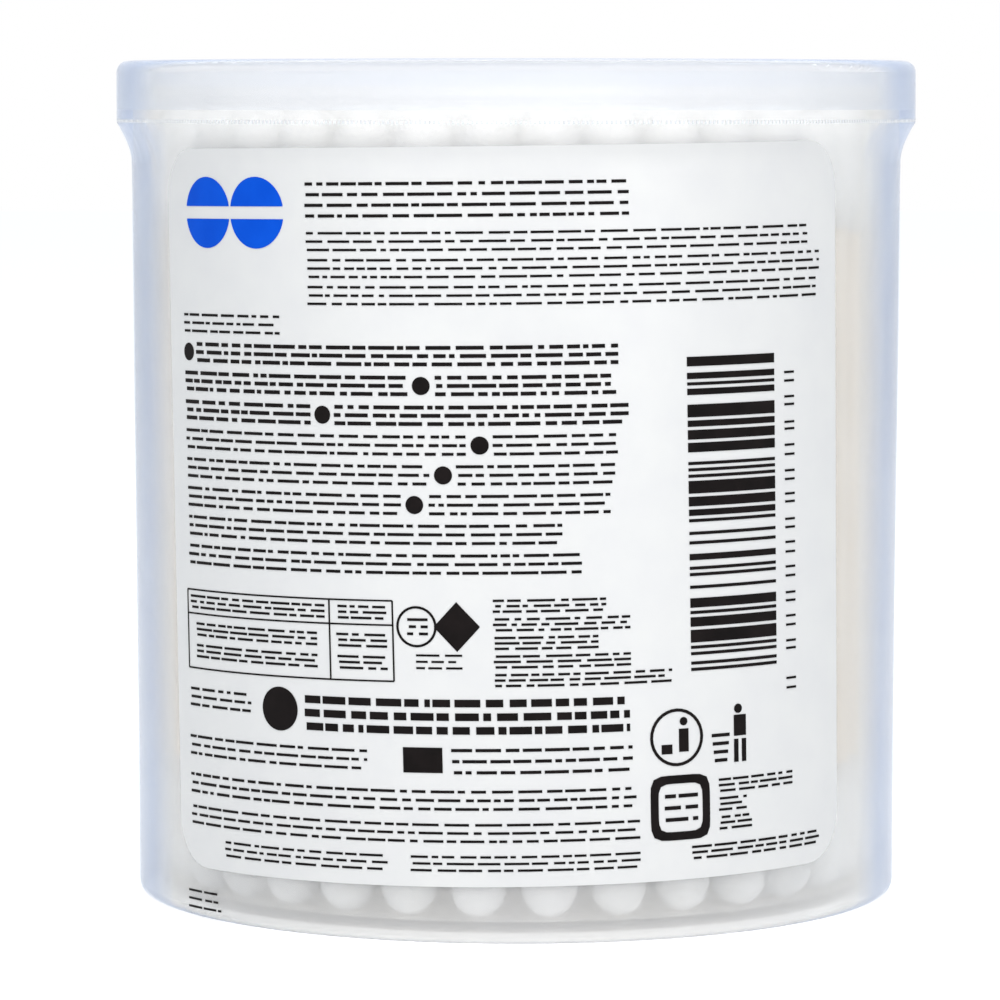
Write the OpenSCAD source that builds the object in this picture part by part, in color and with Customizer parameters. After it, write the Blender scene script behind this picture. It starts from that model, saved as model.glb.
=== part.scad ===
// Round frosted tub of cotton swabs with a shallow snap lid, inside a clear
// printed shrink film. The swabs stand upright on the floor, in six rings.
// Millimetres, +Z up. The origin is the centre of the underside, and the
// printed side faces -Y. Print angles are counted from -Y towards +X.

/* [Tub] */
// Outer diameter of the side wall at its rim
tub_rim_d = 76.7; // [74:0.1:80]
// How much narrower the outside is at the base, the draft of the mould
tub_draft = 0.9; // [0:0.1:1.5]
// Thickness of the side wall
wall_t = 1.4; // [0.9:0.1:1.6]
// Thickness of the floor
floor_t = 1.1; // [0.8:0.1:1.6]
// Height of the foot ring under the floor
foot_h = 0.8; // [0.4:0.1:1.2]
// Width of the foot ring
foot_w = 2.4; // [1.8:0.1:4]
// Radius of the rounded edge between the wall and the foot ring
base_round = 1.2; // [0.8:0.1:1.6]
// Radius of the fillet inside, between the floor and the wall
floor_round = 0.8; // [0.4:0.1:1.2]
// How far the snap bead stands out of the wall
bead_proud = 0.3; // [0.2:0.05:0.4]
// Radius of the snap bead's own section
bead_r = 0.5; // [0.4:0.05:0.6]
// Depth of the snap bead's middle below the rim
bead_drop = 0.9; // [0.7:0.05:1.1]

/* [Lid] */
// Thickness of the lid's flat plate
plate_t = 1; // [0.7:0.1:1.5]
// Height of the shoulder that rests on the tub's rim
shoulder_h = 1.15; // [0.8:0.05:2]
// How far the shoulder reaches inwards past the tub's wall
shoulder_reach = 0.3; // [0.1:0.1:1]
// Thickness of the skirt
skirt_t = 0.75; // [0.6:0.05:1.2]
// How far the skirt reaches down below the shoulder
skirt_h = 2.5; // [2.2:0.1:4]
// Radius of the lid's rounded top edge
lid_round = 1; // [0.5:0.1:1.4]
// How far the catch stands in from the skirt
catch_proud = 0.15; // [0.1:0.01:0.2]
// Radius of the catch's own section
catch_r = 0.4; // [0.3:0.05:0.5]
// Play between the lid's shoulder and the rim
seat_play = 0.2; // [0.1:0.05:0.4]
// Play between the catch and the tub's snap bead
bead_play = 0.25; // [0.2:0.01:0.4]

/* [Film] */
// Thickness of the shrink film
film_t = 0.12; // [0.06:0.01:0.2]
// Play between the film and what it is shrunk onto
film_play = 0.05; // [0.03:0.01:0.1]
// How far in from the lid's edge the film is folded over its top
fold_w = 7.5; // [3:0.5:12]
// Depth of the perforated tear line below the skirt's lower edge
tear_drop = 1.1; // [0.6:0.1:2]
// Width of the tear line
tear_w = 0.3; // [0.2:0.05:0.5]
// Height over which the film slants in from the tear line to the wall
tent_h = 3.6; // [2:0.1:6]
// How far the film curls in round the base's rounded edge, in degrees
curl_angle = 50; // [20:1:52]

/* [Label] */
// Width of the white field, measured along the film
field_w = 75.3; // [60:0.1:90]
// Angle of the field's middle, from straight ahead
field_turn = -3.1; // [-20:0.1:20]
// Height of the field's lower edge
field_low_z = 5.6; // [3:0.1:10]
// Distance from the lid's skirt down to the field's upper edge
field_drop = 3.3; // [2:0.1:8]
// Radius of the field's corners
field_round = 4.8; // [2:0.1:6]
// Thickness of one layer of print
ink_t = 0.04; // [0.02:0.01:0.08]
// Play between the film and the print, and between two layers of print
ink_play = 0.02; // [0.01:0.01:0.04]
// Height of a line of small print
small_line_h = 1.3; // [0.8:0.1:1.6]
// Height of a line of large print
large_line_h = 2.6; // [1.8:0.1:3]
// Width of the drawn lines of boxes
frame_line_w = 0.3; // [0.2:0.05:0.6]
// Radius of each of the emblem's two round fields
emblem_r = 3.4; // [2:0.1:3.4]
// Number of stripes in the stripe column
stripe_count = 24; // [10:1:30]

/* [Swabs] */
// Length of a swab over both of its buds
swab_length = 76.5; // [70:0.1:82]
// How much longer or shorter a single swab may be
length_spread = 0.35; // [0:0.05:0.5]
// Free height between the longest swab and the lid's plate
head_room = 3.2; // [2.6:0.1:8]
// Length of a cotton bud
bud_length = 12; // [9:0.5:15]
// Length of the bud's taper towards the stick
bud_taper = 3.6; // [2:0.1:5]
// Cotton round the stick where the bud's taper ends
neck_t = 0.35; // [0.2:0.05:0.6]
// Diameter of the paper stick
stick_d = 2.4; // [2:0.1:2.6]
// Play between the stick and the bud's bore
stick_play = 0.05; // [0.03:0.01:0.1]
// Cotton over the end of the stick
tip_t = 1.4; // [1:0.1:2.5]
// Play between the outer ring of buds and the wall
wall_play = 0.2; // [0.15:0.05:0.4]
// Play between the buds of one ring and those of the next
ring_play = 0.1; // [0.08:0.01:0.3]
// Least play between two buds of one ring when they stand upright
side_play = 0.59; // [0.4:0.01:1]
// Number of swabs in the innermost ring
inner_count = 4; // [3:1:6]
// Play between a standing swab and the floor
stand_play = 0.1; // [0.05:0.01:0.2]
// Share of the play between neighbours that leaning swabs take up
lean_share = 0.6; // [0:0.05:0.75]

/* [Hidden] */
$fn = 96;

// Heights, from the floor up to the lid's top
floor_z = foot_h + floor_t;
plate_z = floor_z + stand_play + swab_length + length_spread + head_room;
lid_top_z = plate_z + plate_t;
shoulder_z = plate_z - shoulder_h;
skirt_z = shoulder_z - skirt_h;
rim_z = shoulder_z - seat_play;
bead_z = rim_z - bead_drop;
catch_z = skirt_z + catch_r;

// Radii of the tub and the lid
rim_r = tub_rim_d / 2;
base_r = rim_r - tub_draft / 2;
catch_in_r = rim_r + bead_proud + bead_play;
skirt_in_r = catch_in_r + catch_proud;
lid_r = skirt_in_r + skirt_t;

// Heights of the film and the label
tear_z = skirt_z - tear_drop;
band_low_z = tear_z + tear_w / 2;
sleeve_top_z = tear_z - tear_w / 2;
tent_low_z = sleeve_top_z - tent_h;
field_top_z = skirt_z - field_drop;
field_h = field_top_z - field_low_z;

// The slanting film is a curve of this power, in this many steps
tent_power = 1.5;
tent_steps = 8;
curl_steps = 5;

// The two layers of print, counted outwards from the film
white_lift = ink_play;
dark_lift = ink_play + ink_t + ink_play;

// The print is laid out on a sheet of this size, with its corner at the
// field's upper left, and then drawn to the field's own size
sheet_w = 75.3;
sheet_h = 69.5;

// Number of waves of leaning swabs round each ring, from the outermost ring in
ring_waves = [2, 3, 2, 2, 1, 1];

// The buds are as thick as lets the rings fill the tub from its wall inwards.
// The innermost ring's radius is this share of the step from swab to swab
rings = len(ring_waves);
inner_share = 1 / (2 * sin(180 / inner_count));
bud_room = base_r - wall_t - wall_play - (rings - 1) * ring_play - side_play * inner_share;
bud_d = bud_room / (rings - 0.5 + inner_share);

// Rounding in a count of swabs
count_slack = 0.01;

// Longer than any cut through the tub or the film
past = 1;

// Outer radius of the tub's drafted wall at height z
function wall_r(z) = base_r + (rim_r - base_r) * z / rim_z;

// Inner radius of the film: along the wall, then slanting out to the lid
function film_in_r(z) =
    let (share = min(1, max(0, (z - tent_low_z) / tent_h)), low_r = wall_r(min(z, tent_low_z)) + film_play)
    low_r + (lid_r + film_play - low_r) * pow(share, tent_power);

function film_out_r(z) = film_in_r(z) + film_t;

// Heights at which the sleeve's profile has a point, from the rounded base up to the tear line
sleeve_zs = concat([base_round], [for (i = [0 : tent_steps]) tent_low_z + tent_h * i / tent_steps]);

// Points of the film's curl round the base, grow outside the tub, from its end up to the wall
function curl_points(grow) = [
    for (i = [curl_steps : -1 : 1])
        let (a = curl_angle * i / curl_steps, r = base_round + grow)
        [wall_r(base_round) - base_round + r * cos(a), base_round - r * sin(a)]
];

function backwards(list) = [for (i = [len(list) - 1 : -1 : 0]) list[i]];

// The corner of a square that lies outside its round. With grow above 1 the
// round meets the sides at a slight angle instead of touching them
module corner_cut(r, grow = 1) {
    difference() {
        square(r + past);
        circle(r * grow);
    }
}

module tub_profile() {
    difference() {
        union() {
            polygon([
                [0, foot_h], [base_r - foot_w, foot_h], [base_r - foot_w, 0], [base_r, 0],
                [rim_r, rim_z], [rim_r - wall_t, rim_z], [base_r - wall_t, floor_z], [0, floor_z]
            ]);
            translate([base_r - wall_t - floor_round, floor_z + floor_round]) mirror([0, 1]) difference() {
                square(floor_round + wall_t / 3);
                circle(floor_round);
            }
            translate([rim_r + bead_proud - bead_r, bead_z]) circle(bead_r);
        }
        translate([base_r - base_round, base_round]) mirror([0, 1]) corner_cut(base_round);
    }
}

// The lid's outer outline from height low_z up, grown by the same amount all round
module lid_outline(grow, low_z) {
    r = lid_r + grow;
    top_z = lid_top_z + grow;
    edge_r = lid_round + grow;
    difference() {
        translate([0, low_z]) square([r, top_z - low_z]);
        translate([r - edge_r, top_z - edge_r]) corner_cut(edge_r);
    }
}

module tub() {
    color([0.87, 0.9, 0.95, 0.5]) rotate_extrude() tub_profile();
}

module lid() {
    color([0.88, 0.92, 0.97, 0.6]) rotate_extrude() {
        difference() {
            lid_outline(0, skirt_z);
            translate([0, skirt_z - past]) square([skirt_in_r, skirt_h + past]);
            translate([0, shoulder_z - past]) square([rim_r - wall_t - shoulder_reach, shoulder_h + past]);
        }
        translate([catch_in_r + catch_r, catch_z]) circle(catch_r);
    }
}

module film_sleeve() {
    outer = concat(curl_points(film_play + film_t), [for (z = sleeve_zs) [film_out_r(z), z]]);
    inner = concat(curl_points(film_play), [for (z = sleeve_zs) [film_in_r(z), z]]);
    color([0.95, 0.97, 1, 0.25]) rotate_extrude() polygon(concat(outer, backwards(inner)));
}

module film_lid_band() {
    color([0.95, 0.97, 1, 0.25]) rotate_extrude() difference() {
        lid_outline(film_play + film_t, band_low_z);
        lid_outline(film_play, band_low_z - past);
        square([lid_r - fold_w, lid_top_z + past]);
    }
}

// Angle of a distance along the film, from the field's middle
function arc_angle(arc) = arc / film_out_r(field_low_z) * 180 / PI;

// Angle and height of a place on the layout sheet
function sheet_angle(x) = field_turn + arc_angle((x / sheet_w - 0.5) * field_w);
function sheet_z(y) = field_top_z - y * field_h / sheet_h;

// A thin patch that follows the film between two angles and two heights
module patch(from_angle, to_angle, low_z, high_z, lift) {
    zs = concat([low_z], [for (z = sleeve_zs) if (z > low_z && z < high_z) z], [high_z]);
    outer = [for (z = zs) [film_out_r(z) + lift + ink_t, z]];
    inner = [for (z = zs) [film_out_r(z) + lift, z]];
    rotate([0, 0, from_angle - 90]) rotate_extrude(angle = to_angle - from_angle)
        polygon(concat(outer, backwards(inner)));
}

// A bar of dark print from x1 to x2 on the layout sheet, h high, with its middle y down
module bar(x1, x2, y, h) {
    patch(sheet_angle(x1), sheet_angle(x2), sheet_z(y) - h / 2, sheet_z(y) + h / 2, dark_lift);
}

// Turns the children, drawn in the XY plane, to face outwards at an angle and a height
module facing(angle, z) {
    rotate([0, 0, angle]) translate([0, 0, z]) rotate([90, 0, 0]) children();
}

// A round spot of dark print at a place on the layout sheet
module spot(x, y, r) {
    margin = 0.5;
    reach = r + margin;
    intersection() {
        bar(x - reach, x + reach, y, 2 * reach);
        facing(sheet_angle(x), sheet_z(y)) cylinder(h = lid_r + past, r = r);
    }
}

module ring_mark(x, y, outer_r, inner_r) {
    difference() {
        spot(x, y, outer_r);
        facing(sheet_angle(x), sheet_z(y)) cylinder(h = lid_r + past, r = inner_r);
    }
}

module label_field() {
    edge_angle = arc_angle(field_w / 2);
    corner_angle = arc_angle(field_w / 2 - field_round);
    color("white") difference() {
        patch(field_turn - edge_angle, field_turn + edge_angle, field_low_z, field_top_z, white_lift);
        for (side = [0, 1], end = [0, 1])
            facing(field_turn + (side ? corner_angle : -corner_angle),
                   end ? field_top_z - field_round : field_low_z + field_round)
                mirror([1 - side, 0, 0]) mirror([0, 1 - end, 0])
                linear_extrude(lid_r + past) corner_cut(field_round, 1.03);
    }
}

// Two plain round blue fields side by side, each with an open band across it
module label_emblem() {
    emblem_xs = [7, 13.9];
    emblem_y = 6.1;
    band_h = 1.2;
    color([0.1, 0.3, 0.65])
        for (x = emblem_xs) difference() {
            spot(x, emblem_y, emblem_r);
            facing(sheet_angle(x), sheet_z(emblem_y))
                translate([-emblem_r, -band_h / 2, 0]) cube([2 * emblem_r, band_h, lid_r + past]);
        }
}

// Lines of print as plain bars, without letters
module label_lines() {
    left_x = 2.2;
    indent_x = 19.7;
    note_x = 37.3;
    side_x = 59.5;
    line_pitch = 2.79;
    head_pitch = 2.53;
    note_pitch = 1.75;
    side_pitch = 2.05;
    note_line_h = small_line_h * 0.7;
    color([0.12, 0.12, 0.13]) {
        bar(indent_x, 50.9, 4.9, large_line_h);
        for (i = [0 : 2]) bar(indent_x, 71.8, 8.8 + i * head_pitch, small_line_h);
        bar(left_x, 16.5, 16.7, small_line_h);
        for (i = [0 : 7]) bar(left_x, 48 + 2 * sin(75 * i), 19.5 + i * line_pitch, small_line_h);
        for (i = [0 : 4]) bar(note_x, 50 + 3 * sin(60 * i), 43 + i * note_pitch, note_line_h);
        bar(left_x, 11.8, 52.9, small_line_h);
        bar(18.1, 50.1, 53.4, large_line_h);
        bar(left_x, 24.9, 57.6, small_line_h);
        bar(28.4, 50.3, 57.6, small_line_h);
        bar(left_x, 50.6, 61.3, small_line_h);
        bar(left_x, 50.9, 64.4, small_line_h);
        bar(7.6, 50.9, 67.3, small_line_h);
        for (i = [0 : 2]) bar(side_x, 66, 60.4 + i * side_pitch, note_line_h);
        bar(56.5, 72.2, 66.9, small_line_h);
    }
}

// The outlined box of two cells and the round marks in the lower half
module label_frames() {
    box_xs = [2.4, 21.4, 27.9];
    box_ys = [42.5, 50.1];
    reach = frame_line_w / 2;
    upright_h = sheet_z(box_ys[0]) - sheet_z(box_ys[1]) - frame_line_w - 2 * ink_play;
    color([0.12, 0.12, 0.13]) {
        for (y = box_ys) bar(box_xs[0] - reach, box_xs[2] + reach, y, frame_line_w);
        for (x = box_xs) bar(x - reach, x + reach, (box_ys[0] + box_ys[1]) / 2, upright_h);
        ring_mark(30.3, 44.9, 1.8, 1.5);
        spot(34.2, 44.9, 1.7);
        spot(15.1, 52.9, 1.8);
        ring_mark(54.9, 55.6, 2.4, 2.1);
        ring_mark(60.7, 55.8, 1.9, 1.6);
        ring_mark(55.2, 62.5, 2.9, 2.2);
    }
}

// A column of plain stripes of varied height, which is no readable code
module label_stripes() {
    top_y = 20;
    low_y = 50.2;
    pitch = (low_y - top_y) / stripe_count;
    color([0.12, 0.12, 0.13])
        for (i = [0 : stripe_count - 1])
            bar(56.3, 66.3, top_y + (i + 0.5) * pitch, pitch * (0.5 + 0.25 * sin(137 * i)));
}

// Radius of ring k, counted from the wall in
function ring_r(k) = base_r - wall_t - wall_play - bud_d / 2 - k * (bud_d + ring_play);

// How many swabs fit in ring k
function ring_count(k) = floor(180 / asin((bud_d + side_play) / 2 / ring_r(k)) + count_slack);

// How far a swab's ends lie from upright, along its ring
function lean(k, i) =
    let (n = ring_count(k), play = 2 * ring_r(k) * sin(180 / n) - bud_d)
    lean_share * play * n / (2 * PI * ring_waves[k]) * sin(360 * ring_waves[k] * i / n + 70 * k);

// Draws the children at the middle of each swab of ring k, as $swab_l long as that swab
module in_ring(k) {
    for (i = [0 : ring_count(k) - 1]) {
        $swab_l = swab_length + length_spread * sin(137.5 * i + 50 * k);
        rotate([0, 0, -90 + 360 * (i + 0.5) / ring_count(k)])
            translate([ring_r(k), 0, floor_z + stand_play + $swab_l / 2])
            rotate([asin(2 * lean(k, i) / $swab_l), 0, 0])
            children();
    }
}

// A cotton bud with its crown at the origin and the stick's bore open upwards
module bud() {
    bud_r = bud_d / 2;
    bore_r = stick_d / 2 + stick_play;
    color([0.97, 0.97, 0.96]) rotate_extrude() difference() {
        union() {
            intersection() {
                translate([0, bud_r]) circle(bud_r);
                square(bud_r);
            }
            polygon([
                [0, bud_r], [bud_r, bud_r], [bud_r, bud_length - bud_taper],
                [bore_r + neck_t, bud_length], [0, bud_length]
            ]);
        }
        translate([0, tip_t - stick_play]) square([bore_r, bud_length]);
    }
}

module sticks(k) {
    color([0.93, 0.88, 0.78]) in_ring(k) cylinder(h = $swab_l - 2 * tip_t, d = stick_d, center = true);
}

module upper_buds(k) {
    in_ring(k) translate([0, 0, $swab_l / 2]) mirror([0, 0, 1]) bud();
}

module lower_buds(k) {
    in_ring(k) translate([0, 0, -$swab_l / 2]) bud();
}

tub();
lid();
film_sleeve();
film_lid_band();
label_field();
label_emblem();
label_lines();
label_frames();
label_stripes();
sticks(0);  // sticks_ring_1
sticks(1);  // sticks_ring_2
sticks(2);  // sticks_ring_3
sticks(3);  // sticks_ring_4
sticks(4);  // sticks_ring_5
sticks(5);  // sticks_ring_6
upper_buds(0);  // upper_buds_ring_1
upper_buds(1);  // upper_buds_ring_2
upper_buds(2);  // upper_buds_ring_3
upper_buds(3);  // upper_buds_ring_4
upper_buds(4);  // upper_buds_ring_5
upper_buds(5);  // upper_buds_ring_6
lower_buds(0);  // lower_buds_ring_1
lower_buds(1);  // lower_buds_ring_2
lower_buds(2);  // lower_buds_ring_3
lower_buds(3);  // lower_buds_ring_4
lower_buds(4);  // lower_buds_ring_5
lower_buds(5);  // lower_buds_ring_6
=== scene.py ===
import math
import random

import bmesh
import bpy
import numpy as np
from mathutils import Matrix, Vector, noise


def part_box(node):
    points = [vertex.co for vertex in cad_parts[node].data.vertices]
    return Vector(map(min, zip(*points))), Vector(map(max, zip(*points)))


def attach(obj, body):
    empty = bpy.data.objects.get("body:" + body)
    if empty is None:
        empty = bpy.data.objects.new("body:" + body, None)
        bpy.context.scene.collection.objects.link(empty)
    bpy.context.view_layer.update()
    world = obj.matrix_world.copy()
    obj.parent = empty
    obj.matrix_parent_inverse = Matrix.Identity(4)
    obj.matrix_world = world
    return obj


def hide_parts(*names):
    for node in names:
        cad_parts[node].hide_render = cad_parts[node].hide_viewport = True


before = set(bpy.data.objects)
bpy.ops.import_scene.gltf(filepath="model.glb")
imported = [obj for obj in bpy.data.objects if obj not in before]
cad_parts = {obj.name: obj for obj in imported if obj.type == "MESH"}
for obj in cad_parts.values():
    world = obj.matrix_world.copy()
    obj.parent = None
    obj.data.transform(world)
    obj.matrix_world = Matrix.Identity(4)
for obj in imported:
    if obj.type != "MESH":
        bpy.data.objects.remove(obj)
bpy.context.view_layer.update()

# Units: metres, and millimetres on the print's layout sheet and where a name ends in _MM.
# The swab tub stands on z = 0 and its printed side faces -Y.
MM = 0.001
SEED = 7

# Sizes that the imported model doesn't give as a box
FILM_T = 0.06 * MM
INK_T = 0.03 * MM
LAYER_GAP = 0.02 * MM
LID_EDGE_R = 1.17 * MM
BUD_R = 2.76 * MM
BUD_LENGTH = 12 * MM
BUD_TAPER = 3.6 * MM
BUD_NECK_R = 1.55 * MM
TIP_T = 1.4 * MM

# The print's layout sheet, with x to the right and y down from the field's upper left corner
SHEET_W = 75.3
SHEET_H = 69.5
FIELD_ROUND = 4.8
FIELD_TURN = math.radians(-3.1)
PRINT_SLOPE = math.tan(math.radians(0.7))
PRINT_LEAN = math.tan(math.radians(1.3))

band_low, band_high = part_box("film_lid_band")
sleeve_low, sleeve_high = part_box("film_sleeve")
field_low, field_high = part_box("label_field")


# Small helpers

SHARP_ANGLE = math.radians(40)


def new_object(name, verts, faces, body="tub", smooth=True):
    """A mesh object that rides on a body."""
    mesh = bpy.data.meshes.new(name)
    mesh.from_pydata([tuple(v) for v in verts], [], faces)
    mesh.validate()
    piece = bpy.data.objects.new(name, mesh)
    bpy.context.scene.collection.objects.link(piece)
    if smooth:
        mesh.shade_smooth()
        mesh.set_sharp_from_angle(angle=SHARP_ANGLE)
    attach(piece, body)
    return piece


def dress(piece, made):
    """Gives a piece one material all over."""
    piece.data.materials.clear()
    piece.data.materials.append(made)
    for polygon in piece.data.polygons:
        polygon.material_index = 0


class Patches:
    """Collects closed thin patches, each from an outer and an inner grid of points."""

    def __init__(self):
        self.verts = []
        self.faces = []

    def add(self, outer, inner, closed_u=False):
        """Adds a patch. A grid is rows of columns; closed_u joins the last column to the first."""
        rows, cols = len(outer), len(outer[0])
        front = len(self.verts)
        back = front + rows * cols
        for grid in (outer, inner):
            for row in grid:
                self.verts.extend(row)

        def out(r, c):
            return front + r * cols + c % cols

        def within(r, c):
            return back + r * cols + c % cols

        spans = cols if closed_u else cols - 1
        top, right = rows - 1, cols - 1
        for r in range(rows - 1):
            for c in range(spans):
                self.faces.append((out(r, c), out(r, c + 1), out(r + 1, c + 1), out(r + 1, c)))
                self.faces.append(
                    (within(r, c), within(r + 1, c), within(r + 1, c + 1), within(r, c + 1)))
        for c in range(spans):
            self.faces.append((out(0, c), within(0, c), within(0, c + 1), out(0, c + 1)))
            self.faces.append(
                (out(top, c), out(top, c + 1), within(top, c + 1), within(top, c)))
        if not closed_u:
            for r in range(rows - 1):
                self.faces.append((out(r, 0), out(r + 1, 0), within(r + 1, 0), within(r, 0)))
                self.faces.append(
                    (out(r, right), within(r, right), within(r + 1, right), out(r + 1, right)))


# The film's surface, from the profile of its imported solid

def outer_profile(node):
    """Heights and outer radii of a turned node, at each height where its profile has a point."""
    widest = {}
    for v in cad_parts[node].data.vertices:
        z = round(v.co.z, 6)
        r = math.hypot(v.co.x, v.co.y)
        widest[z] = max(widest.get(z, 0), r)
    zs = sorted(widest)
    return np.array(zs), np.array([widest[z] for z in zs])


sleeve_zs, sleeve_rs = outer_profile("film_sleeve")

# Below FOOT_Z the film is drawn in round the tub's edge, by up to FOOT_DRAW
FOOT_Z = 1.2 * MM
FOOT_DRAW = 0.5 * MM

# The film slants out under the lid's edge like a tent. Its tucks fade in below the tent and
# out towards the tear line, and fade in again towards the foot
TENT_LOW_Z = sleeve_high.z - 3.6 * MM
TENT_FADE_IN = 3 * MM
TENT_FADE_OUT = 1.5 * MM
FOOT_TUCKS_Z = 4 * MM
FOOT_FADE_IN = 3 * MM

# The most that tucks and ripples stand out, and how many there are round the tub and upwards
TENT_TUCK_MM = 0.10
FOOT_TUCK_MM = 0.05
RIPPLE_MM = 0.035
TUCKS_ROUND, TUCKS_UP = 16, 60
RIPPLES_ROUND, RIPPLES_UP = 5, 25
RIPPLES_START = (4, 2)


def fade(distance, length):
    """0 up to a distance of 0, then rising to 1 at the given length."""
    return max(0.0, min(1.0, distance / length))


def wrinkle(angle, z):
    """How far the shrunk film stands out of its plain profile at a place, in metres."""
    spot = Vector((math.cos(angle), math.sin(angle), 0))
    tent = fade(z - TENT_LOW_Z + TENT_FADE_IN, TENT_FADE_IN) * fade(
        sleeve_high.z - z, TENT_FADE_OUT)
    foot = fade(FOOT_TUCKS_Z - z, FOOT_FADE_IN)
    tucks = noise.noise(spot * TUCKS_ROUND + Vector((0, 0, z * TUCKS_UP)))
    ripples = noise.noise(spot * RIPPLES_ROUND + Vector((*RIPPLES_START, z * RIPPLES_UP)))
    return (TENT_TUCK_MM * tent * abs(tucks) + FOOT_TUCK_MM * foot * abs(tucks)
            + RIPPLE_MM * (ripples + 0.5)) * MM


def film_r(angle, z):
    """The film's outer radius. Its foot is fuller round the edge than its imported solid."""
    r = float(np.interp(max(z, FOOT_Z), sleeve_zs, sleeve_rs))
    if z < FOOT_Z:
        r -= FOOT_DRAW * (1 - (z - sleeve_low.z) / (FOOT_Z - sleeve_low.z)) ** 3
    return min(r + wrinkle(angle, z), band_high.x)


def around(angle, r, z):
    """A point at an angle from straight ahead (-Y) towards +X."""
    return (r * math.sin(angle), -r * math.cos(angle), z)


FIELD_R = float(np.interp(field_low.z, sleeve_zs, sleeve_rs))
FIELD_H = field_high.z - field_low.z
MID_Y = SHEET_H / 2


def on_sheet(x, y, lift):
    """The point of the film under a place on the layout sheet, lift outside the film."""
    arc = (x - SHEET_W / 2 + PRINT_LEAN * (y - MID_Y)) * MM
    z = field_high.z - y / SHEET_H * FIELD_H + PRINT_SLOPE * (x - SHEET_W / 2) * MM
    angle = FIELD_TURN + arc / FIELD_R
    return around(angle, film_r(angle, z) + lift, z)


# Materials

def material(name, base, roughness, **settings):
    """A Principled material, with plain values set on the shader's own sockets."""
    made = bpy.data.materials.new(name)
    made.use_nodes = True
    shader = shader_of(made)
    shader.inputs["Base Color"].default_value = (*base, 1)
    shader.inputs["Roughness"].default_value = roughness
    shader.inputs["Subsurface Radius"].default_value = (1, 1, 1)
    for key, value in settings.items():
        shader.inputs[key.replace("_", " ")].default_value = value
    return made


def shader_of(made):
    return made.node_tree.nodes["Principled BSDF"]


def add_node(owner, kind, **values):
    """A new node in a material or world, with values for its sockets and settings."""
    node = owner.node_tree.nodes.new(kind)
    for key, value in values.items():
        if key in node.inputs:
            node.inputs[key].default_value = value
        else:
            setattr(node, key, value)
    return node


def mottle(made, scale, dark, light, detail=3.0, stretch=(1, 1, 1)):
    """Colours the base by noise between two colours, and returns the noise node."""
    join = made.node_tree.links.new
    place = add_node(made, "ShaderNodeTexCoord")
    mapping = add_node(made, "ShaderNodeMapping", Scale=stretch)
    join(place.outputs["Object"], mapping.inputs["Vector"])
    spots = add_node(made, "ShaderNodeTexNoise", Scale=scale, Detail=detail)
    join(mapping.outputs["Vector"], spots.inputs["Vector"])
    ramp = add_node(made, "ShaderNodeValToRGB")
    for stop, position, colour in zip(ramp.color_ramp.elements, (0.3, 0.7), (dark, light)):
        stop.position = position
        stop.color = (*colour, 1)
    join(spots.outputs["Fac"], ramp.inputs["Fac"])
    join(ramp.outputs["Color"], shader_of(made).inputs["Base Color"])
    return spots


def rough_bump(made, spots, strength, distance):
    """Raises the surface by a noise node."""
    join = made.node_tree.links.new
    bump = add_node(made, "ShaderNodeBump", Strength=strength, Distance=distance)
    join(spots.outputs["Fac"], bump.inputs["Height"])
    join(bump.outputs["Normal"], shader_of(made).inputs["Normal"])


def let_light_in(made, alpha_socket, keep):
    """A milky sheet scatters light on to what is behind it, so it casts a share of its shadow."""
    join = made.node_tree.links.new
    rays = add_node(made, "ShaderNodeLightPath")
    lights = add_node(made, "ShaderNodeMath", operation="MAXIMUM")
    share = add_node(made, "ShaderNodeMath", operation="MULTIPLY_ADD")
    cast = add_node(made, "ShaderNodeMath", operation="MULTIPLY")
    share.inputs[1].default_value = keep - 1
    share.inputs[2].default_value = 1
    join(rays.outputs["Is Shadow Ray"], lights.inputs[0])
    join(rays.outputs["Is Diffuse Ray"], lights.inputs[1])
    join(lights.outputs[0], share.inputs[0])
    join(alpha_socket, cast.inputs[0])
    join(share.outputs[0], cast.inputs[1])
    join(cast.outputs[0], shader_of(made).inputs["Alpha"])


def by_slant(made, socket, straight, slanted, start, end):
    """Sets a socket of a see-through surface by how much at a slant it is looked through."""
    slant = add_node(made, "ShaderNodeLayerWeight", Blend=0.5)
    share = add_node(made, "ShaderNodeMapRange", interpolation_type="SMOOTHSTEP",
                     **{"From Min": start, "From Max": end, "To Min": straight, "To Max": slanted})
    made.node_tree.links.new(slant.outputs["Facing"], share.inputs["Value"])
    made.node_tree.links.new(share.outputs["Result"], shader_of(made).inputs[socket])
    return share.outputs["Result"]


# Where the moulded plastic's haze starts and ends to thicken, and the share of its shadow
# that it casts
HAZE_START, HAZE_END = 0.56, 0.7
SHADOW_SHARE = 0.1


def frosted(name, dark, light, alpha, edge_alpha):
    """Milky moulded plastic, thicker where it is looked through at a slant."""
    made = material(name, light, 0.5, IOR=1.3)
    mottle(made, 90, dark, light, detail=0.0)
    haze = by_slant(made, "Alpha", alpha, edge_alpha, HAZE_START, HAZE_END)
    let_light_in(made, haze, SHADOW_SHARE)
    by_slant(made, "Transmission Weight", 0.25, 0.3, HAZE_START, HAZE_END)
    return made


tub_plastic = frosted("frosted_tub", dark=(0.95, 0.92, 0.87), light=(0.99, 0.96, 0.92),
                      alpha=0.36, edge_alpha=0.6)
lid_plastic = frosted("frosted_lid", dark=(0.86, 0.88, 0.93), light=(0.90, 0.92, 0.96),
                      alpha=0.3, edge_alpha=0.7)

# The film's dark bluish colour is painted shade: the film shows it mostly where it is looked
# through at a slant, so it darkens the tub's side edges.
clear_film = material("clear_film", (0.44, 0.56, 0.82), 0.15, IOR=1.4)
film_spots = mottle(clear_film, 160, (0.41, 0.53, 0.80), (0.47, 0.59, 0.84), detail=0.0)
rough_bump(clear_film, film_spots, strength=0.12, distance=0.0002)
by_slant(clear_film, "Alpha", straight=0.02, slanted=0.4, start=0.56, end=0.78)

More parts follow.
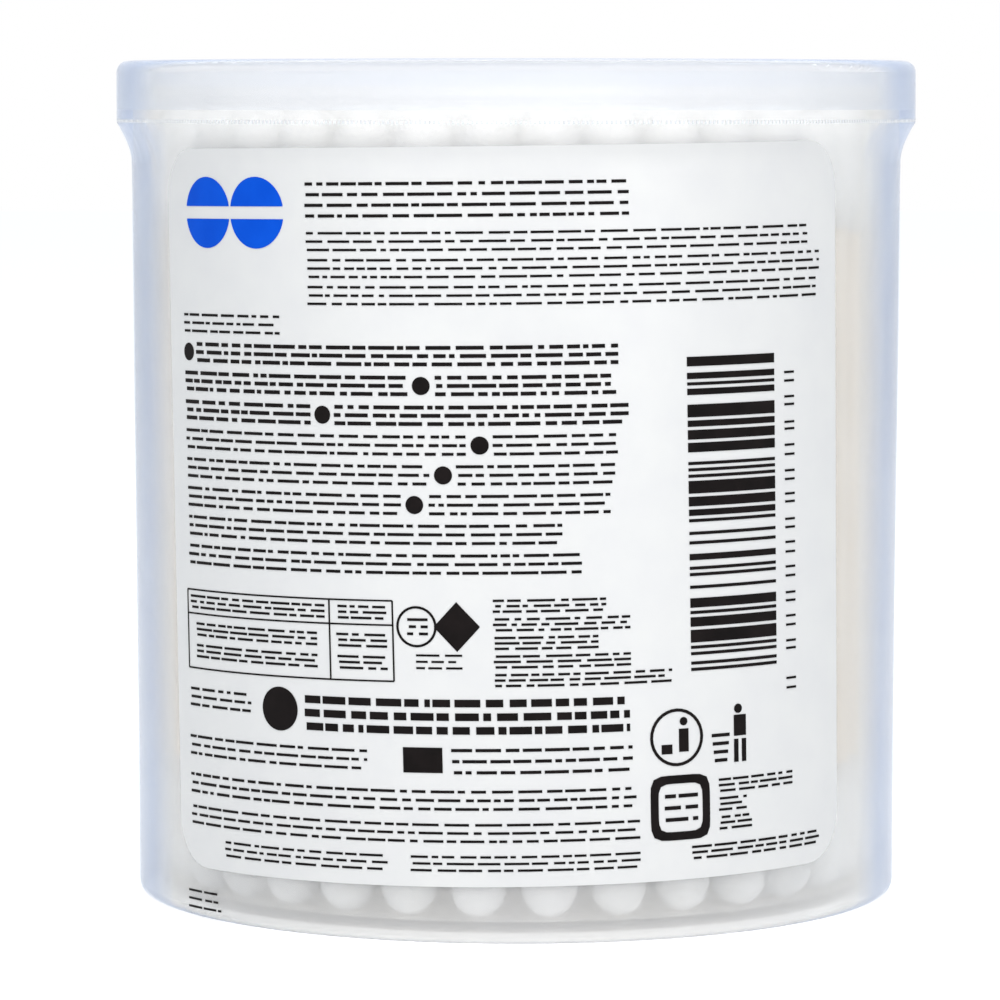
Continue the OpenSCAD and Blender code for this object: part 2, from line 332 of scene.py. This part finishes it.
stressed_film = material("stressed_film", (0.92, 0.93, 0.95), 0.4, Alpha=0.85)
mottle(stressed_film, 200, (0.88, 0.89, 0.92), (0.96, 0.97, 0.98), detail=0.0)

white_ink = material("white_print", (0.77, 0.77, 0.77), 0.3)
ink_spots = mottle(white_ink, 220, (0.755, 0.755, 0.76), (0.785, 0.785, 0.78))
rough_bump(white_ink, ink_spots, strength=0.05, distance=0.0002)

dark_ink = material("dark_print", (0.009, 0.007, 0.007), 0.5, Specular_IOR_Level=0.05)
mottle(dark_ink, 400, (0.006, 0.005, 0.005), (0.012, 0.009, 0.009))

blue_ink = material("blue_print", (0.002, 0.09, 0.69), 0.5, Specular_IOR_Level=0.05)
mottle(blue_ink, 300, (0.001, 0.08, 0.65), (0.003, 0.10, 0.73))

cotton = material("wound_cotton", (0.97, 0.97, 0.965), 0.9,
                  Sheen_Weight=0.2, Subsurface_Weight=0.6, Subsurface_Scale=0.003)
fibres = mottle(cotton, 1800, (0.945, 0.945, 0.94), (0.99, 0.99, 0.985),
                detail=1.5, stretch=(1, 1, 2.2))
rough_bump(cotton, fibres, strength=0.5, distance=0.0003)

paper = material("rolled_paper", (0.97, 0.87, 0.75), 0.8)
grain = mottle(paper, 700, (0.95, 0.84, 0.71), (0.99, 0.90, 0.79),
               detail=1.0, stretch=(1, 1, 0.15))
rough_bump(paper, grain, strength=0.2, distance=0.0002)


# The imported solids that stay: tub, lid and paper sticks

dress(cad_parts["tub"], tub_plastic)
dress(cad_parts["lid"], lid_plastic)
stick_nodes = sorted(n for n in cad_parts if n.startswith("sticks_ring_"))
for node_name in stick_nodes:
    dress(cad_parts[node_name], paper)


# Film

COLUMNS = 480
TOOTH_COLUMNS = 2
TOOTH_H = 0.13 * MM

# How far the film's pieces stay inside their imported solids, and clear of the tear line
FILM_INSET = 0.01 * MM
TEAR_INSET = 0.02 * MM


def film_grid(points, tooth_row, tooth):
    """Rings of points from profile points, each a rule for radius and one for height.

    The tooth row is the film's edge at the tear line, with small teeth of height tooth."""
    grid = []
    for index, (radius_of, z_of) in enumerate(points):
        row = []
        for c in range(COLUMNS):
            angle = 2 * math.pi * c / COLUMNS
            z = z_of(angle)
            if index == tooth_row and c % (2 * TOOTH_COLUMNS) < TOOTH_COLUMNS:
                z += tooth
            row.append(around(angle, radius_of(angle, z), z))
        grid.append(row)
    return grid


def level(z):
    return lambda angle: z


# Rows of points up the sleeve: at its foot, up its wall and up its tent
FOOT_ROWS_MM = (0.3, 0.5, 0.8, 1.2, 2, 3, 4.5)
WALL_LOW_Z, WALL_HIGH_Z, WALL_ROWS = 7 * MM, TENT_LOW_Z - 3 * MM, 14
BEND_Z, TENT_ROWS = TENT_LOW_Z - 2.5 * MM, 16


def make_film_sleeve():
    """The part of the film that stays on the tub, up to the tear line."""
    zs = [sleeve_low.z + FILM_INSET] + [row * MM for row in FOOT_ROWS_MM]
    zs += list(np.linspace(WALL_LOW_Z, WALL_HIGH_Z, WALL_ROWS))
    zs += list(np.linspace(BEND_Z, sleeve_high.z - TEAR_INSET, TENT_ROWS))

    def skin(depth):
        rules = [(lambda a, z: film_r(a, z) - FILM_INSET - depth, level(z)) for z in zs]
        return film_grid(rules, len(zs) - 1, TOOTH_H)

    film = Patches()
    film.add(skin(0), skin(FILM_T), closed_u=True)
    piece = new_object("shrink_film_sleeve", film.verts, film.faces)
    dress(piece, clear_film)
    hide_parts("film_sleeve")


# The film's fold on the lid's top: how deep its puckers are, how its inner edge wanders, and
# the noise that each follows, as number round the lid and start
PUCKER_DEPTH = 0.06 * MM
PUCKERS, PUCKER_START = 14, 0.3
EDGE_WANDER = 0.06
EDGE_WAVES, EDGE_START = 3, 1.7
FOLD_ROWS = (0.25, 0.5, 0.75, 1.0)
# How far the skirt's two inner rows of points are from its low edge and from the round edge
SKIRT_LOW_ROW, SKIRT_HIGH_ROW = 0.8 * MM, 1.2 * MM
ARC_STEPS = 6


def ring_noise(angle, count, start):
    """Noise that runs round the tub and meets itself."""
    return noise.noise(Vector((math.cos(angle), math.sin(angle), start)) * count)


def make_film_band():
    """The part of the film that comes away with the lid: its skirt, its edge and its fold."""
    top_z = band_high.z
    outer_r = band_high.x
    fold_r = band_fold_r()
    skirt_zs = (band_low.z + FILM_INSET, band_low.z + SKIRT_LOW_ROW,
                top_z - LID_EDGE_R - SKIRT_HIGH_ROW)

    points = [(lambda a, z: outer_r, level(z)) for z in skirt_zs]
    for i in range(ARC_STEPS + 1):
        turn = math.pi / 2 * i / ARC_STEPS
        r = outer_r - LID_EDGE_R * (1 - math.cos(turn))
        z = top_z - LID_EDGE_R * (1 - math.sin(turn))
        points.append((lambda a, _, r=r: r, level(z)))
    for share in FOLD_ROWS:
        def radius(a, _, share=share):
            edge = 1 + EDGE_WANDER * share * ring_noise(a, EDGE_WAVES, EDGE_START)
            return outer_r - LID_EDGE_R + (fold_r * edge - outer_r + LID_EDGE_R) * share

        def height(a, share=share):
            return top_z - PUCKER_DEPTH * share * abs(ring_noise(a, PUCKERS, PUCKER_START))

        points.append((radius, height))
    outer = film_grid(points, 0, -TOOTH_H)

    def shrunk(point, row):
        """A point's partner on the film's inner side, in by its thickness."""
        x, y, z = point
        r = math.hypot(x, y)
        turn = max(0, row - len(skirt_zs)) / ARC_STEPS
        turn = min(1, turn) * math.pi / 2
        dr, dz = FILM_T * math.cos(turn), FILM_T * math.sin(turn)
        return (x * (r - dr) / r, y * (r - dr) / r, z - dz)

    inner = [[shrunk(p, index) for p in row] for index, row in enumerate(outer)]
    film = Patches()
    film.add(outer, inner, closed_u=True)
    piece = new_object("shrink_film_lid_band", film.verts, film.faces, body="lid")
    dress(piece, clear_film)
    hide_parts("film_lid_band")


def band_fold_r():
    """Inner radius of the film's fold on the lid's top."""
    band = [v.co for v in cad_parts["film_lid_band"].data.vertices]
    return min(math.hypot(p.x, p.y) for p in band)


# The tear line's bridges, and the share of its length that they take up
BRIDGES = 560
BRIDGE_SHARE = 0.45


def make_tear_line():
    """The fine bridges between the tear line's holes, whitened where the film is stressed."""
    bridges = Patches()
    r = sleeve_high.x - TEAR_INSET
    zs = (sleeve_high.z - TEAR_INSET, band_low.z + FILM_INSET)
    half = math.pi / BRIDGES * BRIDGE_SHARE
    for i in range(BRIDGES):
        middle = 2 * math.pi * i / BRIDGES
        outer, inner = [[[around(middle + side * half, r - depth, z) for side in (-1, 1)]
                         for z in zs] for depth in (0, FILM_T)]
        bridges.add(outer, inner)
    piece = new_object("tear_line_bridges", bridges.verts, bridges.faces, smooth=False)
    dress(piece, stressed_film)


make_film_sleeve()
make_film_band()
make_tear_line()


# Print: thin patches of ink on the film, placed on the layout sheet

WHITE_LIFT = LAYER_GAP
DARK_LIFT = LAYER_GAP * 2 + INK_T
# Half the height to which a patch's point is blunted, so that no face is without area
BLUNT = 0.01


def sheet_patch(patches, columns, lift, step=0.8):
    """A patch of ink. columns is a list of (x, top y, low y), from left to right."""
    rows = max(2, int(max(low - top for _, top, low in columns) / step) + 2)
    outer, inner = [], []
    for r in range(rows):
        share = r / (rows - 1)
        ys = [(x, low + (top - low) * share) for x, top, low in columns]
        outer.append([on_sheet(x, y, lift + INK_T) for x, y in ys])
        inner.append([on_sheet(x, y, lift) for x, y in ys])
    patches.add(outer, inner)


def bar(patches, x1, x2, y, h, step=1.0):
    """A level bar from x1 to x2, h high, with its middle at y."""
    count = max(2, int((x2 - x1) / step) + 2)
    columns = [(x, y - h / 2, y + h / 2) for x in np.linspace(x1, x2, count)]
    sheet_patch(patches, columns, DARK_LIFT)


def disc(patches, x, y, r, steps=20):
    """A filled disc."""
    columns = []
    for i in range(steps + 1):
        turn = math.pi * i / steps
        half = max(r * math.sin(turn), BLUNT)
        columns.append((x - r * math.cos(turn), y - half, y + half))
    sheet_patch(patches, columns, DARK_LIFT)


def ring(patches, x, y, outer_r, inner_r, steps=32, corner=1.0):
    """A ring, or with a corner above 1 a ring drawn out towards a square."""
    outer, inner = [], []
    for r in (inner_r, outer_r):
        row_out, row_in = [], []
        for i in range(steps):
            turn = 2 * math.pi * i / steps
            c, s = math.cos(turn), math.sin(turn)
            grow = (abs(c) ** (2 * corner) + abs(s) ** (2 * corner)) ** (-0.5 / corner)
            px, py = x + r * grow * c, y + r * grow * s
            row_out.append(on_sheet(px, py, DARK_LIFT + INK_T))
            row_in.append(on_sheet(px, py, DARK_LIFT))
        outer.append(row_out)
        inner.append(row_in)
    patches.add(outer, inner, closed_u=True)


def diamond(patches, x, y, half_w, half_h):
    """A filled diamond, a fiftieth taller so that its ends are blunt too."""
    columns = []
    for s in np.linspace(-1, 1, 13):
        reach = half_h * (1.02 - abs(s))
        columns.append((x + half_w * s, y - reach, y + reach))
    sheet_patch(patches, columns, DARK_LIFT)


# Rows of dashes: the length of a dash, of the space after it and of the one before the
# first, the shortest rest of a row that still gets a dash, and how far apart its points are
DASH = (0.5, 2.6)
SPACE = (0.22, 0.6)
FIRST_SPACE = (0, 0.3)
SHORTEST = 0.3
DASH_STEP = 1.6


def dashes(patches, rng, x1, x2, y, h):
    """A thin row of bars of varied length."""
    x = x1 + rng.uniform(*FIRST_SPACE)
    while x < x2 - SHORTEST:
        end = min(x2, x + rng.uniform(*DASH))
        bar(patches, x, end, y, h, step=DASH_STEP)
        x = end + rng.uniform(*SPACE)


def words(patches, rng, x1, x2, y, size, stroke, rows=3):
    """A line of print of a given height, as rows of thin bars without letters."""
    for i in range(rows):
        row_y = y + (i / (rows - 1) - 0.5) * (size - stroke)
        dashes(patches, rng, x1, x2, row_y, stroke)


def finish_print(patches, name, made, slot, *nodes):
    """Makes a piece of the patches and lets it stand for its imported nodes."""
    piece = new_object(name, patches.verts, patches.faces)
    dress(piece, made)
    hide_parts(*nodes)


CORNER_STEPS = 8
FIELD_COLUMNS = 64


def make_field():
    """The white field under the print, with round corners."""
    columns = []
    corner_xs = [FIELD_ROUND * (1 - math.cos(math.pi / 2 * i / CORNER_STEPS))
                 for i in range(CORNER_STEPS + 1)]
    straight_end = FIELD_ROUND + 1
    xs = corner_xs + list(np.linspace(straight_end, SHEET_W - straight_end, FIELD_COLUMNS))
    xs += [SHEET_W - x for x in reversed(corner_xs)]
    for x in xs:
        inset = max(0.0, FIELD_ROUND - min(x, SHEET_W - x))
        cut = FIELD_ROUND - math.sqrt(max(0.0, FIELD_ROUND ** 2 - inset ** 2))
        columns.append((x, cut, SHEET_H - cut))
    field = Patches()
    sheet_patch(field, columns, WHITE_LIFT)
    finish_print(field, "white_label_field", white_ink, "white_ink", "label_field")


# Lines of print, each as left end, right end, middle y, height and stroke. The intro ends
# with the paragraph's heading
LEFT, INDENT, NOTE_LEFT, SIDE_LEFT = 2.7, 19.7, 37.3, 59.2
INTRO_LINES = [(INDENT, end, 8.8 + i * 2.53, 1.8, 0.23)
               for i, end in enumerate((70.9, 72.6, 72.1))]
INTRO_LINES += [(LEFT, 16.5, 16.7, 1.8, 0.24)]
NOTE_LINES = [(NOTE_LEFT, end, 42.95 + i * 1.75, 1.25, 0.23)
              for i, end in enumerate((48.0, 50.3, 47.2, 50.3, 54.4))]
LOWER_LINES = [
    (2.3, 11.8, 52.9, 1.8, 0.25),
    (18.2, 50.1, 53.4, 3.3, 0.72),
    (2.2, 24.9, 57.6, 1.9, 0.25),
    (33.1, 50.3, 57.6, 2.4, 0.3),
    (2.2, 50.6, 61.3, 1.9, 0.26),
    (2.2, 50.9, 64.4, 1.8, 0.24),
    (7.6, 26.7, 67.3, 1.5, 0.22),
    (28.9, 50.9, 67.3, 1.5, 0.22),
    (SIDE_LEFT, 68.3, 60.8, 1.3, 0.23),
    (SIDE_LEFT, 62.4, 62.6, 1.3, 0.23),
    (SIDE_LEFT, 63.0, 64.4, 1.3, 0.23),
    (56.2, 72.2, 67.0, 1.3, 0.23),
    (1.3, 6.8, 72.7, 1.8, 0.22),
]

# The paragraph between intro and note: each line's bullet, where it has one, and its right
# end. The first lines are bold. A line's print stops before its bullet and starts again
# after it, and is left out before a bullet that leaves it less than LEAST_LEAD
PARAGRAPH = [(3.5, 49.6), (31.1, 49.5), (21.1, 50.5), (36.5, 49.4),
             (33.0, 49.1), (30.2, 48.6), (None, 44.0), (None, 45.8)]
PARAGRAPH_Y, PARAGRAPH_PITCH, PARAGRAPH_SIZE = 19.5, 2.79, 1.9
BOLD_LINES, BOLD_STROKE, PLAIN_STROKE = 3, 0.36, 0.28
BULLET_R = 0.85
BEFORE_BULLET, AFTER_BULLET = 1.3, 1.2
LEAST_LEAD = 3


def make_paragraph(lines, rng):
    """The lines of the paragraph, with their bullets."""
    for i, (bullet, end) in enumerate(PARAGRAPH):
        y = PARAGRAPH_Y + i * PARAGRAPH_PITCH
        stroke = BOLD_STROKE if i < BOLD_LINES else PLAIN_STROKE
        start = LEFT
        if bullet:
            disc(lines, bullet, y, BULLET_R)
            if bullet > LEFT + LEAST_LEAD:
                words(lines, rng, LEFT, bullet - BEFORE_BULLET, y, PARAGRAPH_SIZE, stroke)
            start = bullet + AFTER_BULLET
        words(lines, rng, start, end, y, PARAGRAPH_SIZE, stroke)


def make_lines():
    """All lines of print, from the headline down to the mark below the field."""
    rng = random.Random(SEED)
    lines = Patches()
    words(lines, rng, INDENT, 50.9, 4.9, 3.3, 0.3, rows=4)
    for line in INTRO_LINES:
        words(lines, rng, *line)
    make_paragraph(lines, rng)
    for line in NOTE_LINES + LOWER_LINES:
        words(lines, rng, *line)
    finish_print(lines, "print_lines", dark_ink, "dark_ink", "label_lines")


def make_frames():
    """An outlined box of two cells, and round and square marks, without any letters."""
    frames = Patches()
    rng = random.Random(SEED + 1)

    # The box, its lines and the print in its cells
    line_w = 0.16
    left, middle, right = xs = (2.3, 21.3, 27.8)
    ys = (42.5, 44.8, 50.1)
    for y in ys:
        bar(frames, left, right, y, line_w)
    for x in xs:
        sides = [(x - line_w / 2, ys[0], ys[-1]), (x + line_w / 2, ys[0], ys[-1])]
        sheet_patch(frames, sides, DARK_LIFT)
    for y, inset in ((43.65, 0.5), (46.3, 1.4), (48.4, 1.4)):
        words(frames, rng, left + inset, middle - inset, y, 1.3, 0.23)
        words(frames, rng, middle + 0.7, right - 0.6, y, 1.3, 0.23)

    # A ring and a diamond beside the box, with a line under them
    ring(frames, 30.1, 44.9, 1.95, 1.72)
    words(frames, rng, 29.1, 31.2, 44.9, 1.6, 0.26)
    diamond(frames, 33.95, 44.9, 2.15, 2.3)
    words(frames, rng, 29.9, 34.4, 48.2, 1.4, 0.2)

    # A spot before the bold line and a bar before the line under it
    disc(frames, 15.4, 53.2, 2.1, 28)
    bar(frames, 28.5, 32.3, 57.5, 2.4)

    # A ring round a spot and two bars
    ring(frames, 54.8, 55.9, 2.75, 2.45)
    disc(frames, 55.5, 54.4, 0.4, 10)
    bar(frames, 55.0, 56.0, 56.2, 2.2)
    bar(frames, 53.2, 54.3, 57.0, 0.9)

    # A basket of bars, beside a spot on three bars
    for i in range(4):
        bar(frames, 58.5 + 0.1 * i, 60.5 - 0.1 * i, 56.0 + 0.8 * i, 0.32)
    disc(frames, 61.5, 53.6, 0.45, 10)
    for x1, x2, y, h in ((61.0, 62.4, 55.2, 2.0), (61.0, 61.5, 57.6, 2.2), (61.9, 62.4, 57.6, 2.2)):
        bar(frames, x1, x2, y, h)

    # A square ring round a few dashes
    ring(frames, 55.1, 62.6, 3.1, 2.3, corner=3)
    words(frames, rng, 53.4, 56.9, 62.6, 2.6, 0.36)
    finish_print(frames, "print_frames", dark_ink, "dark_ink", "label_frames")


# The stripes, with the heights and gaps to draw from, and the pairs of ticks beside them,
# of which the last stands lower
STRIPES_TOP, STRIPES_LOW = 20.0, 49.9
STRIPE_LEFT, STRIPE_RIGHT = 56.4, 66.3
STRIPE_HEIGHTS = (0.3, 0.3, 0.6, 0.9, 1.2)
STRIPE_GAPS = (0.3, 0.3, 0.6, 0.9)
TICKS, TICKS_TOP, TICK_PITCH, LAST_TICK_DROP = 13, 22.3, 2.33, 1.4
TICK_LEFT, TICK_RIGHT, TICK_H = 67.6, 68.9, 0.22
TICK_SPREAD = (0.3, 0.5)


def make_stripes():
    """A column of plain stripes of varied height, and one of ticks, which is no readable code."""
    stripes = Patches()
    rng = random.Random(SEED + 2)
    y = STRIPES_TOP
    while y < STRIPES_LOW:
        h = rng.choice(STRIPE_HEIGHTS)
        bar(stripes, STRIPE_LEFT, STRIPE_RIGHT, y + h / 2, h)
        y += h + rng.choice(STRIPE_GAPS)
    for i in range(TICKS):
        y = TICKS_TOP + TICK_PITCH * i + (LAST_TICK_DROP if i == TICKS - 1 else 0)
        for side in (-1, 1):
            tick_y = y + side * rng.uniform(*TICK_SPREAD)
            bar(stripes, TICK_LEFT, TICK_RIGHT, tick_y, TICK_H)
    finish_print(stripes, "print_stripes", dark_ink, "dark_ink", "label_stripes")


def make_emblem():
    """Two round blue fields side by side, each with an open band across it."""
    emblem = Patches()
    xs, y = (7.0, 13.9), 6.1
    r, half_band = 3.4, 0.6
    steps = 28
    for x in xs:
        for side in (-1, 1):
            columns = []
            for i in range(steps + 1):
                px = x - r * math.cos(math.pi * i / steps)
                reach = math.sqrt(max(0.0, r * r - (px - x) ** 2))
                if reach > half_band + 2 * BLUNT:
                    ends = sorted((y + side * half_band, y + side * reach))
                    columns.append((px, *ends))
            sheet_patch(emblem, columns, DARK_LIFT)
    finish_print(emblem, "print_emblem", blue_ink, "blue_ink", "label_emblem")


make_field()
make_lines()
make_frames()
make_stripes()
make_emblem()


# Cotton buds, wound on the ends of the paper sticks

SAME_POINT = 1e-7


def stick_ends(node_name):
    """The lower and the upper end point of each stick of a node, in the order round the ring."""
    mesh = bmesh.new()
    mesh.from_mesh(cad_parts[node_name].data)
    bmesh.ops.remove_doubles(mesh, verts=mesh.verts, dist=SAME_POINT)
    left, ends = set(mesh.verts), []
    while left:
        island, edge = set(), [left.pop()]
        while edge:
            vert = edge.pop()
            island.add(vert)
            for link in vert.link_edges:
                other = link.other_vert(vert)
                if other in left:
                    left.discard(other)
                    edge.append(other)
        points = np.array([v.co for v in island])
        mid_z = points[:, 2].mean()
        low = points[points[:, 2] < mid_z].mean(axis=0)
        high = points[points[:, 2] >= mid_z].mean(axis=0)
        ends.append((Vector(low), Vector(high)))
    mesh.free()
    return sorted(ends, key=lambda e: math.atan2(e[0].y, e[0].x))


def bud_radius(along):
    """Plain radius of a bud at a distance from its crown."""
    if along < BUD_R:
        return math.sqrt(max(0.0, BUD_R ** 2 - (BUD_R - along) ** 2))
    shoulder = BUD_LENGTH - BUD_TAPER
    if along < shoulder:
        return BUD_R
    share = (along - shoulder) / BUD_TAPER
    ease = share * share * (3 - 2 * share)
    return BUD_R + (BUD_NECK_R - BUD_R) * ease


BUD_SIDES = 28
BUD_ROWS_MM = [0.06, 0.25, 0.55, 0.95, 1.4, 1.9, 2.5, 3.2, 4.0, 4.9,
               5.8, 6.7, 7.6, 8.4, 9.1, 9.8, 10.5, 11.1, 11.6, 12.0]

# A bud's surface, as shares of its radius: how lumpy it is, how its winding shows, how far it
# is drawn in for both and how far it may still stand out. Lumps are longer than wide
BUD_LEAST = 0.965
LUMP_DEPTH, LUMPS, LUMP_STRETCH = 0.09, 1.3, 0.35
WIND_DEPTH, WIND_PITCH = 0.022, 4.2
BUD_DRAWN_IN, BUD_PROUD = 0.03, 0.012
# The bud's closing point lies this far inside its neck
NECK_DIMPLE = 0.2 * MM


def add_bud(verts, faces, crown, direction, rng):
    """A lumpy wound bud, from its crown along direction, which points to the swab's middle."""
    turn = direction.to_track_quat("Z", "Y")
    offset = Vector((rng.uniform(-50, 50), rng.uniform(-50, 50), rng.uniform(-50, 50)))
    fat = rng.uniform(BUD_LEAST, 1.0)
    base = len(verts)
    verts.append(crown)
    for along_mm in BUD_ROWS_MM:
        along = along_mm * MM
        for s in range(BUD_SIDES):
            angle = 2 * math.pi * s / BUD_SIDES
            spot = Vector((math.cos(angle), math.sin(angle), along_mm * LUMP_STRETCH))
            lumps = noise.noise(spot * LUMPS + offset) * LUMP_DEPTH
            wound = math.sin(along_mm * WIND_PITCH + angle + offset.x) * WIND_DEPTH
            proud = min(BUD_PROUD, lumps + wound - BUD_DRAWN_IN)
            r = bud_radius(along) * fat * (1 + proud)
            verts.append(crown + turn @ Vector((r * math.cos(angle), r * math.sin(angle), along)))
    verts.append(crown + turn @ Vector((0, 0, BUD_LENGTH - NECK_DIMPLE)))
    rows = len(BUD_ROWS_MM)
    tail = base + 1 + rows * BUD_SIDES
    for s in range(BUD_SIDES):
        t = (s + 1) % BUD_SIDES
        faces.append((base, base + 1 + t, base + 1 + s))
        for r in range(rows - 1):
            a = base + 1 + r * BUD_SIDES
            b = a + BUD_SIDES
            faces.append((a + s, a + t, b + t, b + s))
        a = base + 1 + (rows - 1) * BUD_SIDES
        faces.append((a + s, a + t, tail))


def make_buds():
    """The upper and the lower buds of each ring of swabs, one piece for each."""
    for k, node_name in enumerate(stick_nodes, start=1):
        rng = random.Random(SEED + 10 * k)
        ends = stick_ends(node_name)
        for level_name, upper in (("upper", True), ("lower", False)):
            verts, faces = [], []
            for low, high in ends:
                end, other = (high, low) if upper else (low, high)
                direction = (other - end).normalized()
                crown = end - direction * TIP_T
                add_bud(verts, faces, crown, direction, rng)
            piece = new_object(f"{level_name}_cotton_ring_{k}", verts, faces)
            dress(piece, cotton)
            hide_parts(f"{level_name}_buds_ring_{k}")


make_buds()


# Camera: a long lens a little above the tub, looking slightly down

FOCAL_PX = 5075
PHOTO_PX = 1000
SENSOR = 36
CAMERA_DISTANCE = 510.7 * MM
CAMERA_Z = 79.8 * MM
CAMERA_TILT = math.radians(4.56)
AXIS_PX = 516
CLIP_START = 0.01

camera_data = bpy.data.cameras.new("camera")
camera_data.sensor_width = SENSOR
camera_data.lens = FOCAL_PX / PHOTO_PX * SENSOR
camera_data.clip_start = CLIP_START
camera = bpy.data.objects.new("camera", camera_data)
bpy.context.scene.collection.objects.link(camera)
camera.location = (0, -CAMERA_DISTANCE, CAMERA_Z)
yaw = math.atan((AXIS_PX - PHOTO_PX / 2) / FOCAL_PX)
camera.rotation_euler = (math.pi / 2 - CAMERA_TILT, 0, yaw)
bpy.context.scene.camera = camera


# Light: five soft boxes, two beside the camera, two above and one behind, in a white surround

LAMP_COLOUR = (1.0, 0.975, 0.95)
LAMPS_AIM = Vector((0, 0, 0.045))


def soft_box(name, azimuth, elevation, distance, size, power):
    """A rectangular lamp aimed at the tub's middle, placed by degrees from straight ahead."""
    light_data = bpy.data.lights.new(name, "AREA")
    light_data.shape = "RECTANGLE"
    light_data.size, light_data.size_y = size
    light_data.energy = power
    light_data.color = LAMP_COLOUR
    light = bpy.data.objects.new(name, light_data)
    bpy.context.scene.collection.objects.link(light)
    a, e = math.radians(azimuth), math.radians(elevation)
    back = Vector((math.sin(a) * math.cos(e), -math.cos(a) * math.cos(e), math.sin(e)))
    light.location = LAMPS_AIM + back * distance
    light.rotation_euler = (-back).to_track_quat("-Z", "Y").to_euler()


soft_box("left_box", azimuth=-32, elevation=5, distance=0.5, size=(0.26, 0.3), power=0.26)
soft_box("right_box", azimuth=32, elevation=5, distance=0.5, size=(0.24, 0.3), power=0.33)
soft_box("high_box", azimuth=2, elevation=45, distance=0.5, size=(0.5, 0.25), power=0.85)
soft_box("top_box", azimuth=5, elevation=65, distance=0.9, size=(0.8, 0.8), power=3.0)
soft_box("back_box", azimuth=180, elevation=50, distance=0.6, size=(0.6, 0.4), power=0.5)


def seen_share(owner):
    """A socket that is 1 for rays that see a surface straight, in gloss or through glass."""
    join = owner.node_tree.links.new
    rays = add_node(owner, "ShaderNodeLightPath")
    share = rays.outputs["Is Camera Ray"]
    for kind in ("Is Glossy Ray", "Is Transmission Ray"):
        either = add_node(owner, "ShaderNodeMath", operation="MAXIMUM")
        join(share, either.inputs[0])
        join(rays.outputs[kind], either.inputs[1])
        share = either.outputs[0]
    return share


def make_surround():
    """A world that is white where it is seen, and dimmer and cooler as a light."""
    world = bpy.data.worlds.new("white_surround")
    bpy.context.scene.world = world
    world.use_nodes = True
    world.node_tree.nodes.clear()
    join = world.node_tree.links.new
    lighting = add_node(world, "ShaderNodeBackground", Color=(0.85, 0.93, 1.0, 1), Strength=0.5)
    seen = add_node(world, "ShaderNodeBackground", Color=(1, 1, 1, 1), Strength=1.0)
    mix = add_node(world, "ShaderNodeMixShader")
    output = add_node(world, "ShaderNodeOutputWorld")
    join(seen_share(world), mix.inputs["Fac"])
    join(lighting.outputs[0], mix.inputs[1])
    join(seen.outputs[0], mix.inputs[2])
    join(mix.outputs[0], output.inputs["Surface"])


FLOOR_REACH = 3.0
FLOOR_GLOW = 0.6


def make_floor():
    """A pale floor that glows a little where it is seen, so that it is white but for the shadow."""
    corners = [(-FLOOR_REACH, -FLOOR_REACH, 0), (FLOOR_REACH, -FLOOR_REACH, 0),
               (FLOOR_REACH, FLOOR_REACH, 0), (-FLOOR_REACH, FLOOR_REACH, 0)]
    mesh = bpy.data.meshes.new("floor")
    mesh.from_pydata(corners, [], [(0, 1, 2, 3)])
    floor = bpy.data.objects.new("floor", mesh)
    bpy.context.scene.collection.objects.link(floor)
    made = bpy.data.materials.new("pale_floor")
    made.use_nodes = True
    shader = shader_of(made)
    shader.inputs["Base Color"].default_value = (0.9, 0.9, 0.9, 1)
    shader.inputs["Roughness"].default_value = 0.9
    shader.inputs["Specular IOR Level"].default_value = 0.0
    shader.inputs["Emission Color"].default_value = (1, 1, 1, 1)
    glow = add_node(made, "ShaderNodeMath", operation="MULTIPLY")
    glow.inputs[1].default_value = FLOOR_GLOW
    join = made.node_tree.links.new
    join(seen_share(made), glow.inputs[0])
    join(glow.outputs[0], shader.inputs["Emission Strength"])
    mesh.materials.append(made)


make_surround()
make_floor()

bpy.context.scene.view_settings.view_transform = "Standard"
# Many see-through layers lie behind each other, and a few bounces carry most of the light
bpy.context.scene.cycles.transparent_max_bounces = 24
bpy.context.scene.cycles.diffuse_bounces = 4
bpy.context.scene.cycles.max_bounces = 7
